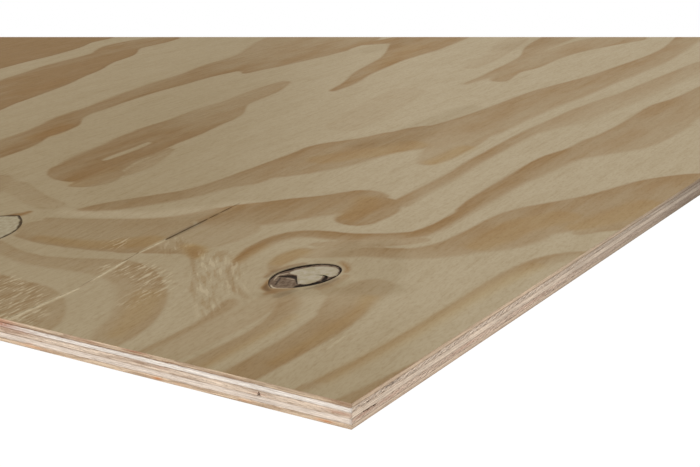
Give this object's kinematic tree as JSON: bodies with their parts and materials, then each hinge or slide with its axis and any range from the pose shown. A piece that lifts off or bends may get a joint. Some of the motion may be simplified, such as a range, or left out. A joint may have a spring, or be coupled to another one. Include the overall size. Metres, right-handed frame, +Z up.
{
  "type": "underlayment panel",
  "caption": "Flat softwood plywood sheet laid over a subfloor: cross-laid veneers, a bark-ringed knot part filled, a tight knot and a filled end split in its face.",
  "frame": {"origin": "middle of the underside, on the plane that the sheet lies on", "axes": "+X along the sheet's length and the grain of its face, +Y across it, +Z up out of the face"},
  "size_m": [2.44, 1.22, 0.015],
  "materials": {
    "face_wood": "touch-sanded bare pine",
    "crossband_wood": "sawn bare pine",
    "core_wood": "sawn bare pine",
    "back_wood": "unsanded bare pine",
    "knot_wood": "dark bark and knot wood",
    "tight_knot_wood": "sanded pale knot wood",
    "filler": "sanded matte wood filler"
  },
  "bodies": {
    "root": {"face_veneer": "face_wood", "upper_crossband": "crossband_wood", "core_veneer": "core_wood", "lower_crossband": "crossband_wood", "back_veneer": "back_wood", "barked_knot": "knot_wood", "tight_knot": "tight_knot_wood", "wood_filler": "filler"}
  },
  "joints": []
}
